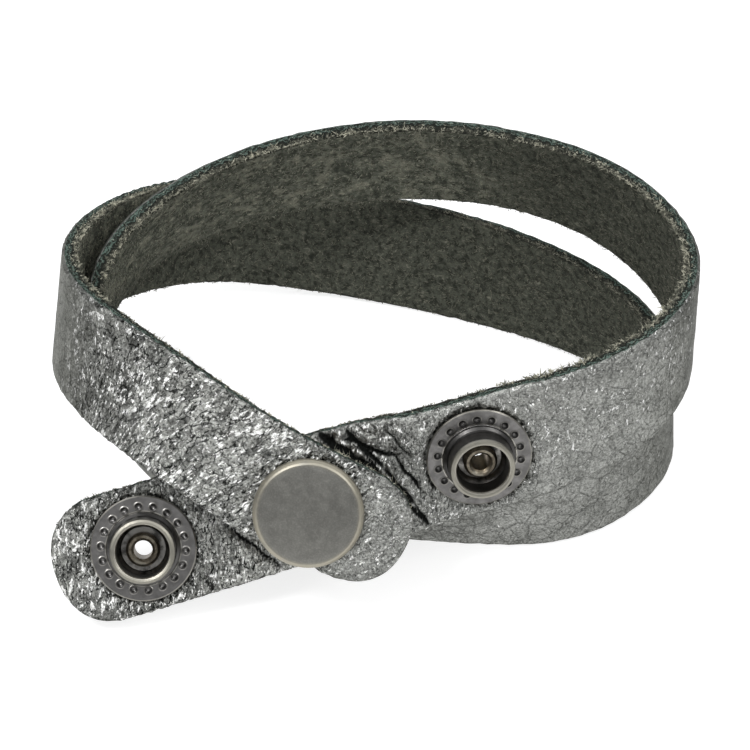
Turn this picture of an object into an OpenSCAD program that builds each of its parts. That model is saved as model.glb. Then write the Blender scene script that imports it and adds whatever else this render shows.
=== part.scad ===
// Leather wrap bracelet: one flat strap wound twice round and closed on the middle of three ring studs.
// Millimetres. The loops rest on z = 0, the snap faces -Y and the wide way is X.

/* [Strap] */
// Width of the strap
strap_width = 15; // [14:0.5:16]
// Width of the strap at the cap end, which is cut narrower
cap_end_width = 13.3; // [13:0.1:15]
// Thickness of the leather
leather = 2; // [1.8:0.1:2.1]
// Depth of the rounded ends
end_round = 7.2; // [5:0.1:9]
// Fullness of the rounded ends, 2 is a plain arc
end_fullness = 2.3; // [2:0.1:3]
// Edge of the cut leather that is eased off
edge_ease = 0.35; // [0.2:0.05:0.5]
// Spacing of the strap's cross-sections
section_step = 3.2; // [2:0.2:5]
// Spacing of the cross-sections where the leather is creased
crease_step = 1.3; // [1:0.1:3]

/* [Snap positions] */
// Free end to the left stud
stud_start = 10.8; // [9:0.1:13]
// From one stud to the next
stud_pitch = 20.5; // [18:0.5:22]
// Cap to the outer end
cap_margin = 11.9; // [9:0.1:14]
// How far the strap's mid line runs above the cap's axis
cap_across = 0.9; // [0:0.1:1.2]
// Mid line of the inner strap to mid line of the outer strap at the closed snap
closed_gap = 6.1; // [5.9:0.1:6.4]
// Half length of the flat stretch under a stud or cap
flat_half = 6.6; // [6.3:0.1:7]

/* [Studs] */
// Flange diameter
flange_d = 12.5; // [11:0.1:13]
// Flange thickness
flange_t = 0.5; // [0.4:0.05:0.7]
// How deep the flange is pressed into the leather
pressed = 0.3; // [0.1:0.05:0.4]
// Outer diameter of the ring's rim, which the socket grips
rim_d = 7.7; // [7:0.1:8.2]
// Outer diameter of the ring's foot
foot_d = 8.7; // [8.2:0.1:9]
// Inner diameter of the ring
cup_d = 6.2; // [5.6:0.1:6.6]
// Height of the rim above the leather
rim_top = 3.4; // [3:0.1:3.6]
// Dimples round the flange
dimples = 18; // [12:1:24]
// Diameter of the ring of dimples
dimple_ring_d = 9.95; // [9.6:0.05:11]
// Diameter of a dimple
dimple_d = 0.9; // [0.6:0.05:1.1]

/* [Rivets] */
// Outer diameter of a rivet's tube
tube_d = 3.2; // [2.8:0.1:3.4]
// Diameter of the hole through a rivet
tube_hole_d = 2.2; // [1.8:0.1:2.4]
// Diameter of the rolled lip
lip_d = 4; // [3.6:0.1:4.4]
// Diameter of the rivet's flange on the suede side
rivet_flange_d = 7.6; // [6.5:0.1:9]

/* [Cap and socket] */
// Cap diameter
cap_d = 12.9; // [12:0.1:14]
// Cap height over the leather
cap_h = 1.4; // [1.2:0.1:2]
// Socket diameter
socket_d = 12; // [11:0.1:12.5]
// Socket bore, over the stud's rim
socket_bore_d = 7.9; // [7.8:0.05:8.4]

/* [Hidden] */
// The strap's mid line is a smooth curve led by these sections. The first and the last only lead it.
SECTION_X = 0;
SECTION_Y = 1;
SECTION_HEIGHT = 2;
SECTION_LEAN = 3;
// The table's own middle and resting height, taken off so that the part stands centred on z = 0.
table_middle = [-1.38, 21.97, 0.06];
sections = [
    // x, y, height, lean of the top edge inwards in degrees
    [-55.5, -13.0, 0.0, 38],
    [-38.5, -12.5, 7.0, 36],
    [-20.5, -7.5, 10.0, 36],
    [-6.0, -5.5, 14.0, 28],
    [14.5, -2.5, 18.5, 8],
    [31.0, 1.0, 22.5, 6],
    [40.5, 17.5, 24.0, -2],
    [33.0, 37.0, 25.5, 10],
    [18.5, 46.7, 26.2, 20],
    [2.0, 50.4, 25.7, 18],
    [-17.0, 46.7, 24.6, 20],
    [-33.0, 37.0, 22.0, 26],
    [-39.0, 22.2, 17.3, 4],
    [-30.3, 5.3, 10.9, -19],
    [-17.0, 0.9, 6.5, -27],
    [5.0, 1.0, 7.4, -14],
    [24.5, -0.5, 7.5, -2],
    [38.5, 15.0, 8.5, 4],
    [34.5, 32.3, 8.6, 8],
    [22.3, 44.7, 7.5, -4],
    [5.2, 54.1, 6.9, -24],
    [-15.5, 58.0, 8.0, -20],
    [-28.0, 53.5, 12.0, -8],
    [-39.5, 35.0, 19.6, 7],
    [-40.8, 10.8, 25.9, 8],
    [-26.0, -5.2, 26.6, 38],
    [-13.3, -9.9, 18.5, 26],
    [2.4, -12.8, 12.2, 40],
    [20.0, -15.4, 1.8, 60],
];

// Creases pressed across the leather by the closed snap.
CREASE_FROM = 0;
CREASE_FROM_ACROSS = 1;
CREASE_TO = 2;
CREASE_TO_ACROSS = 3;
CREASE_DEPTH = 4;
creases = [
    // starts along, starts across, ends along, ends across, depth
    [17.5, 5.5, 24.0, -1.0, 0.35],
    [20.5, 1.5, 26.5, -6.5, 0.40],
    [37.0, 7.0, 41.0, -2.0, 0.40],
    [39.5, 7.0, 43.5, -4.0, 0.45],
    [42.5, 6.5, 45.0, -6.5, 0.35],
];
crease_width = 0.9;

// Divisions across the grain side and across the suede side.
across_grain = 10;
across_suede = 3;
curve_steps = 24;
finite_step = 0.05;
pull_length = 58;
pull_before = 12;
taper_from = 72;
taper_to = 20;
stud_fade = 3.6;
cap_fade = 8.4;
end_rings = 9;
creased_from = 12;
creased_to = 50;
skin_gap = 0.05;
hole_clearance = 0.15;
dimple_depth = 0.2;

// Turned profiles: small bevels first, then the steps of each part.
bevel = 0.1;
edge_round = 0.15;
lip_round = 0.3;
foot_h = 0.35;
shoulder_h = 0.6;
barrel_h = 0.85;
rim_ease = 0.3;
cup_floor = 0.45;
cup_bowl_h = 0.7;
cup_bowl_w = 0.5;
rivet_flange_t = 0.4;
lip_foot = 0.2;
lip_height = 1.3;
post_d = 3.2;
post_head_d = 4.4;
post_head_t = 0.4;
cap_edge = 1.05;
cap_under = 0.35;
cap_belly = 0.4;
cap_belly_h = 0.75;
// The cap's face: share of its radius, share of its rise over the edge.
cap_face = [[0.91, 0.4], [0.8, 0.65], [0.5, 0.88], [0, 1]];
socket_plate = 0.4;
socket_round = 0.4;
socket_mouth_d = foot_d + 0.5;
socket_mouth_h = 0.7;
socket_throat_h = 0.3;
end_ease_share = 0.4;
bore_sides = 48;
dimple_sides = 16;
beyond = 1;

strap_half = strap_width / 2;
leather_half = leather / 2;
cap_end_half = cap_end_width / 2;
last_row = len(sections) - 1;
first_u = 1;
last_u = last_row - 1;
curve_count = (last_u - first_u) * curve_steps;

function clamp01(v) = max(0, min(1, v));
function eased(from, to, v) = let (t = clamp01((v - from) / (to - from))) t * t * (3 - 2 * t);
function unit(v) = v / norm(v);
function xyz(row) = [row[SECTION_X], row[SECTION_Y], row[SECTION_HEIGHT]] - table_middle;

// Weights of four neighbouring sections for a place between the middle two, and the weights of the slope there.
function place_weights(f) = [pow(1 - f, 3), 3 * pow(f, 3) - 6 * f * f + 4, -3 * pow(f, 3) + 3 * f * f + 3 * f + 1, pow(f, 3)] / 6;
function slope_weights(f) = [-pow(1 - f, 2), 3 * f * f - 4 * f, -3 * f * f + 2 * f + 1, f * f] / 2;
function row_before(u) = max(first_u, min(last_u - 1, floor(u)));
function mixed(k, i) = k[0] * sections[i - 1] + k[1] * sections[i] + k[2] * sections[i + 1] + k[3] * sections[i + 2];
function section_at(u) = let (i = row_before(u)) mixed(place_weights(u - i), i);
function slope_at(u) = let (i = row_before(u)) xyz(mixed(slope_weights(u - i), i)) + table_middle;

// Length along the curve, to turn a length into a place in the table.
curve_u = [for (i = [0:curve_count]) first_u + i / curve_steps];
curve_points = [for (u = curve_u) xyz(section_at(u))];
length_to_u = [
    for (i = 0, run = 0; i <= curve_count; run = run + (i < curve_count ? norm(curve_points[i + 1] - curve_points[i]) : 0), i = i + 1)
        [run, curve_u[i]]
];
strap_length = length_to_u[curve_count][0];

// A bare frame: place, direction of travel, and the direction across the strap towards its top edge.
function bare_frame(s) =
    let (
        u = lookup(s, length_to_u),
        row = section_at(u),
        travel = unit(slope_at(u)),
        upright = unit([0, 0, 1] - travel * travel[2]),
        outward = cross(travel, upright),
        lean = row[SECTION_LEAN]
    )
    [xyz(row), travel, upright * cos(lean) - outward * sin(lean)];
function face_of(frame) = unit(cross(frame[1], frame[2]));

// Where the snaps sit, and the flat plane of leather under each.
stud_left_at = stud_start;
stud_middle_at = stud_start + stud_pitch;
stud_right_at = stud_start + 2 * stud_pitch;
cap_at = strap_length - cap_margin;
middle_frame = bare_frame(stud_middle_at);
middle_face = face_of(middle_frame);
cap_place = middle_frame[0] + closed_gap * middle_face;
cap_frame = bare_frame(cap_at);
cap_up = unit(cap_frame[2] - middle_face * (cap_frame[2] * middle_face));
cap_pull = cap_place + cap_across * cap_up - cap_frame[0];
PLANE_AT = 0;
PLANE_PLACE = 1;
PLANE_FACE = 2;
PLANE_END = 3;
function stud_plane(at, end) = let (f = bare_frame(at)) [at, f[0], face_of(f), end];
planes = [
    // at, place, face, which side runs out flat to the end of the strap
    stud_plane(stud_left_at, -1),
    stud_plane(stud_middle_at, 0),
    stud_plane(stud_right_at, 0),
    [cap_at, cap_place, middle_face, 1],
];

function flatness(plane, s) =
    let (away = s - plane[PLANE_AT], fade = plane[PLANE_END] == 1 ? cap_fade : stud_fade)
    away * plane[PLANE_END] > 0 ? 1 : 1 - eased(flat_half, flat_half + fade, abs(away));
function onto_planes(p, w, s, k) =
    k == len(planes) ? [p, w] :
    let (plane = planes[k], face = plane[PLANE_FACE], flat = flatness(plane, s))
    onto_planes(
        p - flat * ((p - plane[PLANE_PLACE]) * face) * face,
        w - flat * (w * face) * face,
        s,
        k + 1
    );
function laid(s) =
    let (
        frame = bare_frame(s),
        pulled = frame[0] + eased(cap_at - pull_length, cap_at - pull_before, s) * cap_pull
    )
    onto_planes(pulled, frame[2], s, 0);

// The finished frame: place, travel, across and face, square to each other.
function strap_frame(s) =
    let (
        here = laid(s),
        travel = unit(laid(s + finite_step)[0] - laid(s - finite_step)[0]),
        across = unit(here[1] - travel * (here[1] * travel))
    )
    [here[0], travel, across, cross(travel, across)];

// Half width of the strap at a length along it.
function half_width(s) =
    let (
        inward = clamp01(min(s, strap_length - s) / end_round),
        taper = eased(strap_length - taper_from, strap_length - taper_to, s)
    )
    (strap_half + taper * (cap_end_half - strap_half)) * pow(1 - pow(1 - inward, end_fullness), 1 / end_fullness);

// Distance from a point on the strap to a crease, and the sum of the creases' depths there.
function crease_distance(c, s, v) =
    let (
        a = [c[CREASE_FROM], c[CREASE_FROM_ACROSS]],
        b = [c[CREASE_TO], c[CREASE_TO_ACROSS]],
        t = clamp01(([s, v] - a) * (b - a) / ((b - a) * (b - a)))
    )
    norm([s, v] - a - t * (b - a));
function crease_sum(s, v, k) =
    k == len(creases) ? 0 :
    creases[k][CREASE_DEPTH] * exp(-pow(crease_distance(creases[k], s, v) / crease_width, 2)) + crease_sum(s, v, k + 1);
function relief(s, v) = s > creased_from && s < creased_to ? -crease_sum(s, v, 0) : 0;

// Leather that rests is flattened by the surface under it.
function rested(p) = [p[0], p[1], max(0, p[2])];

// One closed cross-section, round from the bottom edge over the grain side to the suede side.
function ring(s) =
    let (
        frame = strap_frame(s),
        half = half_width(s),
        ease = min(edge_ease, half * end_ease_share),
        flat = half - ease,
        grain = [for (j = [0:across_grain]) let (v = flat * (2 * j / across_grain - 1)) [v, leather_half + relief(s, v)]],
        suede = [for (j = [0:across_suede]) [flat * (1 - 2 * j / across_suede), -leather_half]],
        outline = concat(
            grain,
            [[half, leather_half - ease], [half, ease - leather_half]],
            suede,
            [[-half, ease - leather_half], [-half, leather_half - ease]]
        )
    )
    [for (q = outline) rested(frame[0] + q[0] * frame[2] + q[1] * frame[3])];

function spread(from, to, step) =
    let (n = ceil((to - from) / step)) [for (i = [0:n - 1]) from + (to - from) * i / n];
end_offsets = [for (i = [1:end_rings]) end_round * (1 - cos(90 * i / (end_rings + 1)))];
ring_lengths = concat(
    end_offsets,
    spread(end_round, creased_from, section_step),
    spread(creased_from, creased_to, crease_step),
    spread(creased_to, strap_length - end_round, section_step),
    [strap_length - end_round],
    [for (i = [end_rings - 1:-1:0]) strap_length - end_offsets[i]]
);

module strap_blank() {
    rings = [for (s = ring_lengths) ring(s)];
    around = len(rings[0]);
    last = len(rings) - 1;
    sides = [
        for (i = [0:last - 1], j = [0:around - 1])
            let (a = i * around + j, b = i * around + (j + 1) % around, c = b + around, d = a + around)
            each [[a, c, b], [a, d, c]]
    ];
    start = [[for (j = [0:around - 1]) j]];
    finish = [[for (j = [around - 1:-1:0]) last * around + j]];
    polyhedron(points = [for (r = rings) each r], faces = concat(sides, start, finish), convexity = 12);
}

// Children are drawn with +Z along the strap's face, from the middle of the leather at that length.
module on_strap(at) {
    f = strap_frame(at);
    multmatrix([
        [f[1][0], f[2][0], f[3][0], f[0][0]],
        [f[1][1], f[2][1], f[3][1], f[0][1]],
        [f[1][2], f[2][2], f[3][2], f[0][2]],
        [0, 0, 0, 1],
    ])
        children();
}

// The same on the cap's own axis, below the strap's mid line.
module on_cap() {
    on_strap(cap_at)
        translate([0, -cap_across, 0])
            children();
}

module strap() {
    color([0.36, 0.36, 0.35])
        difference() {
            strap_blank();
            for (at = [stud_left_at, stud_middle_at, stud_right_at])
                on_strap(at) {
                    cylinder(h = 4 * leather, d = tube_d + 2 * hole_clearance, center = true, $fn = bore_sides);
                    translate([0, 0, leather_half - pressed])
                        cylinder(h = leather, d = flange_d + 2 * hole_clearance, $fn = bore_sides);
                }
            on_cap()
                cylinder(h = 4 * leather, d = post_d + 2 * hole_clearance, center = true, $fn = bore_sides);
        }
}

// An open ring stud, seated in the leather.
module ring_stud(at) {
    seat = leather_half - pressed + skin_gap;
    top = leather_half + rim_top;
    rim_r = rim_d / 2;
    cup_r = cup_d / 2;
    foot_r = foot_d / 2;
    flange_r = flange_d / 2;
    lip = (rim_r - cup_r) / 2;
    color([0.40, 0.39, 0.39])
        on_strap(at)
            difference() {
                rotate_extrude($fn = 96)
                    polygon([
                        [tube_d / 2 + hole_clearance, seat],
                        [flange_r - bevel, seat],
                        [flange_r, seat + bevel],
                        [flange_r, seat + flange_t - bevel],
                        [flange_r - edge_round, seat + flange_t],
                        [foot_r, seat + flange_t],
                        [foot_r - bevel, seat + flange_t + foot_h],
                        [rim_r + bevel, seat + flange_t + shoulder_h],
                        [rim_r, seat + flange_t + barrel_h],
                        [rim_r, top - lip],
                        [rim_r - lip * rim_ease, top - lip * rim_ease],
                        [rim_r - lip, top],
                        [cup_r + lip * rim_ease, top - lip * rim_ease],
                        [cup_r, top - lip],
                        [cup_r, seat + cup_floor + cup_bowl_h],
                        [cup_r - cup_bowl_w, seat + cup_floor],
                        [tube_d / 2 + hole_clearance, seat + cup_floor],
                    ]);
                for (i = [0:dimples - 1])
                    rotate([0, 0, i * 360 / dimples])
                        translate([dimple_ring_d / 2, 0, seat + flange_t - dimple_depth])
                            cylinder(h = beyond, d = dimple_d, $fn = dimple_sides);
            }
}

// A hollow rivet: a flange on the suede side, a tube through leather and stud, and a lip rolled over in the cup.
module rivet(at) {
    seat = -leather_half - skin_gap;
    lip_base = leather_half - pressed + skin_gap + cup_floor + skin_gap;
    tube_r = tube_d / 2;
    hole_r = tube_hole_d / 2;
    lip_r = lip_d / 2;
    color([0.33, 0.32, 0.31])
        on_strap(at)
            rotate_extrude($fn = 64)
                polygon([
                    [hole_r, seat - rivet_flange_t],
                    [rivet_flange_d / 2 - edge_round, seat - rivet_flange_t],
                    [rivet_flange_d / 2, seat - rivet_flange_t + edge_round],
                    [rivet_flange_d / 2, seat],
                    [tube_r, seat],
                    [tube_r, lip_base],
                    [lip_r - bevel, lip_base],
                    [lip_r, lip_base + lip_foot],
                    [lip_r, lip_base + lip_height - lip_round],
                    [lip_r - lip_round, lip_base + lip_height],
                    [hole_r + lip_round, lip_base + lip_height],
                    [hole_r, lip_base + lip_height - lip_round],
                ]);
}

module stud_left() ring_stud(stud_left_at);
module stud_middle() ring_stud(stud_middle_at);
module stud_right() ring_stud(stud_right_at);
module eyelet_left() rivet(stud_left_at);
module eyelet_middle() rivet(stud_middle_at);
module eyelet_right() rivet(stud_right_at);

// The plain cap: a low dome with a rounded edge, its post through the leather and clenched in the socket.
module cap() {
    seat = leather_half + skin_gap;
    cap_r = cap_d / 2;
    inner = -leather_half - skin_gap - socket_plate - skin_gap;
    color([0.45, 0.44, 0.42])
        on_cap()
            rotate_extrude($fn = 96)
                polygon(concat([
                    [0, inner - post_head_t],
                    [post_head_d / 2 - bevel, inner - post_head_t],
                    [post_head_d / 2, inner - post_head_t + bevel],
                    [post_head_d / 2, inner],
                    [post_d / 2, inner],
                    [post_d / 2, seat],
                    [cap_r - cap_under, seat],
                    [cap_r - bevel, seat + edge_round],
                    [cap_r, seat + cap_belly],
                    [cap_r - bevel, seat + cap_belly_h],
                    [cap_r - cap_under, seat + cap_edge],
                ], [for (f = cap_face) [cap_r * f[0], seat + cap_edge + (cap_h - cap_edge) * f[1]]]));
}

// The spring socket behind the cap: a ring over the middle stud's rim, with a plate that the post goes through.
module socket() {
    back = -leather_half - skin_gap;
    front = back - (closed_gap - leather - flange_t + pressed - 3 * skin_gap - bevel);
    outer_r = socket_d / 2;
    color([0.38, 0.37, 0.36])
        on_cap()
            rotate_extrude($fn = 96)
                polygon([
                    [post_d / 2 + hole_clearance, back],
                    [outer_r - socket_round, back],
                    [outer_r, back - socket_round],
                    [outer_r, front + edge_round],
                    [outer_r - edge_round, front],
                    [socket_mouth_d / 2, front],
                    [socket_mouth_d / 2 - bevel, front + socket_mouth_h],
                    [socket_bore_d / 2, front + socket_mouth_h + socket_throat_h],
                    [socket_bore_d / 2, back - socket_plate],
                    [post_d / 2 + hole_clearance, back - socket_plate],
                ]);
}

strap();
cap();
socket();
stud_left();
stud_middle();
stud_right();
eyelet_left();
eyelet_middle();
eyelet_right();
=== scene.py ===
import bpy
import math
import numpy as np
from mathutils import Matrix, Vector, noise


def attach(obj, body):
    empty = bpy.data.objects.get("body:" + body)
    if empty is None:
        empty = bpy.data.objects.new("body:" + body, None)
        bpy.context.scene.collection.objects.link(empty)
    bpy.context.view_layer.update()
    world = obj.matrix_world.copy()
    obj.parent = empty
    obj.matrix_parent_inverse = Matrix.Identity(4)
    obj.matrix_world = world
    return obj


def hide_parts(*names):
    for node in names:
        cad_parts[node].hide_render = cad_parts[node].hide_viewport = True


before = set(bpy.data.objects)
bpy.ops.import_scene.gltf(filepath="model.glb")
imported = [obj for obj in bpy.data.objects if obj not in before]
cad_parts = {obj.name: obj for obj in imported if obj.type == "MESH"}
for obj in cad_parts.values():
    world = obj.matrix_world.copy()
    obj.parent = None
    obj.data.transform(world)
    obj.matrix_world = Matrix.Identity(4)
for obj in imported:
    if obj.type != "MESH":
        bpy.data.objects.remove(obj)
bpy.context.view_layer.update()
mm = 0.001
print("frame loaded:", ", ".join(sorted(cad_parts)))

# The strap as cut and as wound: lengths in millimetres, angles in degrees, as in the part's source.
strap = {
    "width": 15.0,
    "thickness": 2.0,
    "endRound": 7.2,
    "endFullness": 2.3,
    "edgeEase": 0.35,
    "studStart": 10.8,
    "studPitch": 20.5,
    "capEndWidth": 13.3,
    "taperFrom": 72.0,
    "taperTo": 20.0,
    "capMargin": 11.9,
    "capAcross": 0.9,
    "closedGap": 6.1,
    "flatHalf": 6.6,
    "studFade": 3.6,
    "capFade": 8.4,
    "pullLength": 58.0,
    "pullBefore": 12.0,
    "tableMiddle": (-1.38, 21.97, 0.06),
}
# Sections of the wound strap: x, y, height, lean of the top edge inwards.
sections = np.array([
    (-55.5, -13.0, 0.0, 38),
    (-38.5, -12.5, 7.0, 36),
    (-20.5, -7.5, 10.0, 36),
    (-6.0, -5.5, 14.0, 28),
    (14.5, -2.5, 18.5, 8),
    (31.0, 1.0, 22.5, 6),
    (40.5, 17.5, 24.0, -2),
    (33.0, 37.0, 25.5, 10),
    (18.5, 46.7, 26.2, 20),
    (2.0, 50.4, 25.7, 18),
    (-17.0, 46.7, 24.6, 20),
    (-33.0, 37.0, 22.0, 26),
    (-39.0, 22.2, 17.3, 4),
    (-30.3, 5.3, 10.9, -19),
    (-17.0, 0.9, 6.5, -27),
    (5.0, 1.0, 7.4, -14),
    (24.5, -0.5, 7.5, -2),
    (38.5, 15.0, 8.5, 4),
    (34.5, 32.3, 8.6, 8),
    (22.3, 44.7, 7.5, -4),
    (5.2, 54.1, 6.9, -24),
    (-15.5, 58.0, 8.0, -20),
    (-28.0, 53.5, 12.0, -8),
    (-39.5, 35.0, 19.6, 7),
    (-40.8, 10.8, 25.9, 8),
    (-26.0, -5.2, 26.6, 38),
    (-13.3, -9.9, 18.5, 26),
    (2.4, -12.8, 12.2, 40),
    (20.0, -15.4, 1.8, 60),
])


def eased(low, high, value):
    share = np.clip((value - low) / (high - low), 0, 1)
    return share * share * (3 - 2 * share)


def unitRows(rows):
    return rows / np.linalg.norm(rows, axis=-1, keepdims=True)


# Section values and slope at a place in the table.
def curvePlace(u):
    before = np.clip(np.floor(u).astype(int), 1, len(sections) - 3)
    f = (u - before)[:, None]
    a, b, c, d = (sections[before + k] for k in (-1, 0, 1, 2))
    early = (1 - f) ** 3 * a + (3 * f ** 3 - 6 * f * f + 4) * b
    late = (-3 * f ** 3 + 3 * f * f + 3 * f + 1) * c + f ** 3 * d
    slope = (-((1 - f) ** 2) * a + (3 * f * f - 4 * f) * b + (-3 * f * f + 2 * f + 1) * c + f * f * d) / 2
    return (early + late) / 6, slope[:, :3]


tablePlaces = np.linspace(1, len(sections) - 2, (len(sections) - 3) * 40 + 1)
tablePoints = curvePlace(tablePlaces)[0][:, :3]
tableLengths = np.concatenate([[0], np.cumsum(np.linalg.norm(np.diff(tablePoints, axis=0), axis=1))])
strapLength = tableLengths[-1]


def bareFrame(s):
    place, slope = curvePlace(np.interp(s, tableLengths, tablePlaces))
    travel = unitRows(slope)
    upright = unitRows(np.array([0, 0, 1.0]) - travel * travel[:, 2:3])
    outward = np.cross(travel, upright)
    lean = np.radians(place[:, 3])[:, None]
    return place[:, :3] - strap["tableMiddle"], travel, np.cos(lean) * upright - np.sin(lean) * outward


studPlaces = [strap["studStart"] + k * strap["studPitch"] for k in range(3)]
capPlace = strapLength - strap["capMargin"]


def facePlane(s):
    place, travel, across = bareFrame(np.array([s]))
    return place[0], unitRows(np.cross(travel, across))[0]


middlePoint, middleFace = facePlane(studPlaces[1])
capPoint = middlePoint + strap["closedGap"] * middleFace
capBare, capUp = (row[0] for row in bareFrame(np.array([capPlace]))[::2])
capUp = unitRows(capUp - (capUp @ middleFace) * middleFace)
capPull = capPoint + strap["capAcross"] * capUp - capBare
# Flat stretches under the snaps: length along, point, face, and the side that is flat to the strap's end.
flatPlanes = [(s, *facePlane(s), side) for s, side in zip(studPlaces, (-1, 0, 0))]
flatPlanes.append((capPlace, capPoint, middleFace, 1))


def laidPlace(s):
    place, travel, across = bareFrame(s)
    pulled = eased(capPlace - strap["pullLength"], capPlace - strap["pullBefore"], s)
    place = place + pulled[:, None] * capPull
    for at, point, face, side in flatPlanes:
        fade = strap["capFade"] if side == 1 else strap["studFade"]
        flat = 1 - eased(strap["flatHalf"], strap["flatHalf"] + fade, np.abs(s - at))
        flat = np.where((s - at) * side > 0, 1, flat)[:, None]
        place = place - flat * ((place - point) @ face)[:, None] * face
        across = across - flat * (across @ face)[:, None] * face
    return place, across


# Point, travel, across and face of the wound strap at lengths along it.
def strapFrame(s):
    s = np.asarray(s, float)
    step = 0.05
    place, across = laidPlace(s)
    travel = unitRows(laidPlace(s + step)[0] - laidPlace(s - step)[0])
    across = unitRows(across - travel * (across * travel).sum(1)[:, None])
    return place, travel, across, np.cross(travel, across)


# Half the strap's width before its ends are rounded, drawn in towards the cap end.
def cutHalf(s):
    taper = eased(strapLength - strap["taperFrom"], strapLength - strap["taperTo"], s)
    return strap["width"] / 2 + taper * (strap["capEndWidth"] - strap["width"]) / 2


# Snaps on the flat strap: length along and place across.
snapPlaces = [(at, 0.0) for at in studPlaces] + [(capPlace, -strap["capAcross"])]


# Smooth noise, sharp ridges and cells over the flat strap, all in millimetres.
def smoothNoise(x, y, size, seed=0.0):
    return np.array([noise.noise(Vector((a, b, seed))) for a, b in zip(x / size, y / size)])


def ridges(x, y, size, seed=0.0):
    return 1 - 2.4 * np.abs(smoothNoise(x, y, size, seed))


# 0 on the line between two cells, 1 well inside one.
def cellEdges(x, y, size, seed=0.0):
    gaps = np.empty(len(x))
    for i, (a, b) in enumerate(zip(x / size, y / size)):
        near = noise.voronoi(Vector((a, b, seed)))[0]
        gaps[i] = near[1] - near[0]
    return np.clip(gaps * 2.2, 0, 1)


# What the leather does on its grain side. The streaks' angles run from the left turn to the cap.
grain = {
    "wave": 3.4,
    "waveDepth": 0.05,
    "pebble": 2.9,
    "pebbleDepth": 0.035,
    "pebbleEdge": 0.35,
    "streak": 1.15,
    "streakLong": 2.6,
    "streakDepth": 0.10,
    "crinkle": 0.78,
    "crinkleDepth": 0.075,
    "streakTurns": (-35.0, 25.0),
    "freeEndTurn": 20.0,
    "pressed": 0.34,
    "pressedRadius": 6.42,
    "pillow": 0.16,
    "pillowFrom": 0.9,
    "pillowWide": 0.6,
    "capBed": 6.2,
    "capBedEdge": 6.9,
    "capBedDepth": 0.04,
    "fullCrease": 0.30,
    "fullRidge": 0.13,
}
# Buckling creases: starts along, starts across, ends along, ends across, depth, half width.
creases = [
    (16.8, 7.0, 23.4, -1.5, 0.26, 0.20),
    (19.2, 5.0, 25.0, -4.0, 0.36, 0.26),
    (20.2, 0.6, 26.0, -7.2, 0.36, 0.26),
    (24.2, -2.5, 28.2, -7.4, 0.26, 0.20),
    (34.6, 7.4, 40.0, 0.3, 0.60, 0.52),
    (40.0, 0.3, 44.3, -7.3, 0.42, 0.25),
    (37.3, 7.3, 40.6, 1.6, 0.46, 0.32),
    (40.6, 1.6, 43.0, -3.8, 0.48, 0.34),
    (43.0, -3.8, 44.4, -7.4, 0.34, 0.22),
    (37.0, 6.2, 42.1, 2.7, 0.46, 0.32),
    (38.6, 4.6, 41.2, -2.4, 0.34, 0.22),
    (41.4, 7.2, 44.2, 2.4, 0.30, 0.18),
    (41.6, 4.0, 44.6, -3.0, 0.38, 0.22),
    (43.6, 6.6, 45.8, 3.2, 0.22, 0.15),
]


def creaseDepth(s, v):
    s = s + 0.35 * smoothNoise(s, v, 1.6, 3.1) + 0.10 * smoothNoise(s, v, 0.5, 3.7)
    v = v + 0.35 * smoothNoise(s, v, 1.6, 6.1)
    total = np.zeros(len(s))
    ridge = np.zeros(len(s))
    for s0, v0, s1, v1, depth, wide in creases:
        longSquared = (s1 - s0) ** 2 + (v1 - v0) ** 2
        along = np.clip(((s - s0) * (s1 - s0) + (v - v0) * (v1 - v0)) / longSquared, 0, 1)
        away = np.hypot(s - s0 - along * (s1 - s0), v - v0 - along * (v1 - v0))
        taper = np.sqrt(np.clip(4 * along * (1 - along) + 0.12, 0, 1))
        total = np.maximum(total, depth * taper * np.exp(-(away / wide) ** 2))
        swell = np.exp(-((np.abs(away) - 2.0 * wide) / (0.8 * wide)) ** 2)
        ridge = np.maximum(ridge, 0.3 * depth * taper * swell)
    return total, ridge


# Distances from the middle of the nearest stud and of the cap.
def clearOfStuds(s, v):
    return np.min([np.hypot(s - at, v) for at in studPlaces], axis=0)


def clearOfCap(s, v):
    return np.hypot(s - snapPlaces[3][0], v - snapPlaces[3][1])


# How strongly the foil is crinkled. Steps down from the free end: from, to, by how much.
crinkleSteps = [(30, 40, 0.35), (44, 58, 0.35), (96, 112, 0.17)]
crinkling = {
    "free": 0.95,
    "least": 0.06,
    "byStud": 0.6,
    "studRadius": 6.7,
    "studSpread": 1.1,
    "lowerFall": 0.75,
    "lowerAlong": (47, 54),
    "lowerAcross": (-1.8, -4.8),
    "diagonal": (-55, -37),
    "capEnd": (-14, -5),
    "capEndFall": 0.5,
}


# Most at the free end and on the diagonal, little along the lower edge past the cap.
def crinkled(s, v):
    freeEnd = crinkling["free"] - sum(fall * eased(low, high, s) for low, high, fall in crinkleSteps)
    lower = eased(*crinkling["lowerAlong"], s) * eased(*crinkling["lowerAcross"], v)
    freeEnd *= 1 - crinkling["lowerFall"] * lower
    fromCap = s - strapLength
    diagonal = eased(*crinkling["diagonal"], fromCap)
    diagonal -= crinkling["capEndFall"] * eased(*crinkling["capEnd"], fromCap)
    spread = (clearOfStuds(s, v) - crinkling["studRadius"]) / crinkling["studSpread"]
    byStud = crinkling["byStud"] * np.exp(-spread ** 2)
    return np.clip(np.max([freeEnd, diagonal, byStud], axis=0), crinkling["least"], 1)


# Rises from 0 to 1 and falls back along the strap. Where it ends below 0, it counts from the cap end.
def stretchOf(s, riseFrom, riseTo, fallFrom, fallTo):
    s = s - strapLength if fallTo < 0 else s
    return eased(riseFrom, riseTo, s) * (1 - eased(fallFrom, fallTo, s))


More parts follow.
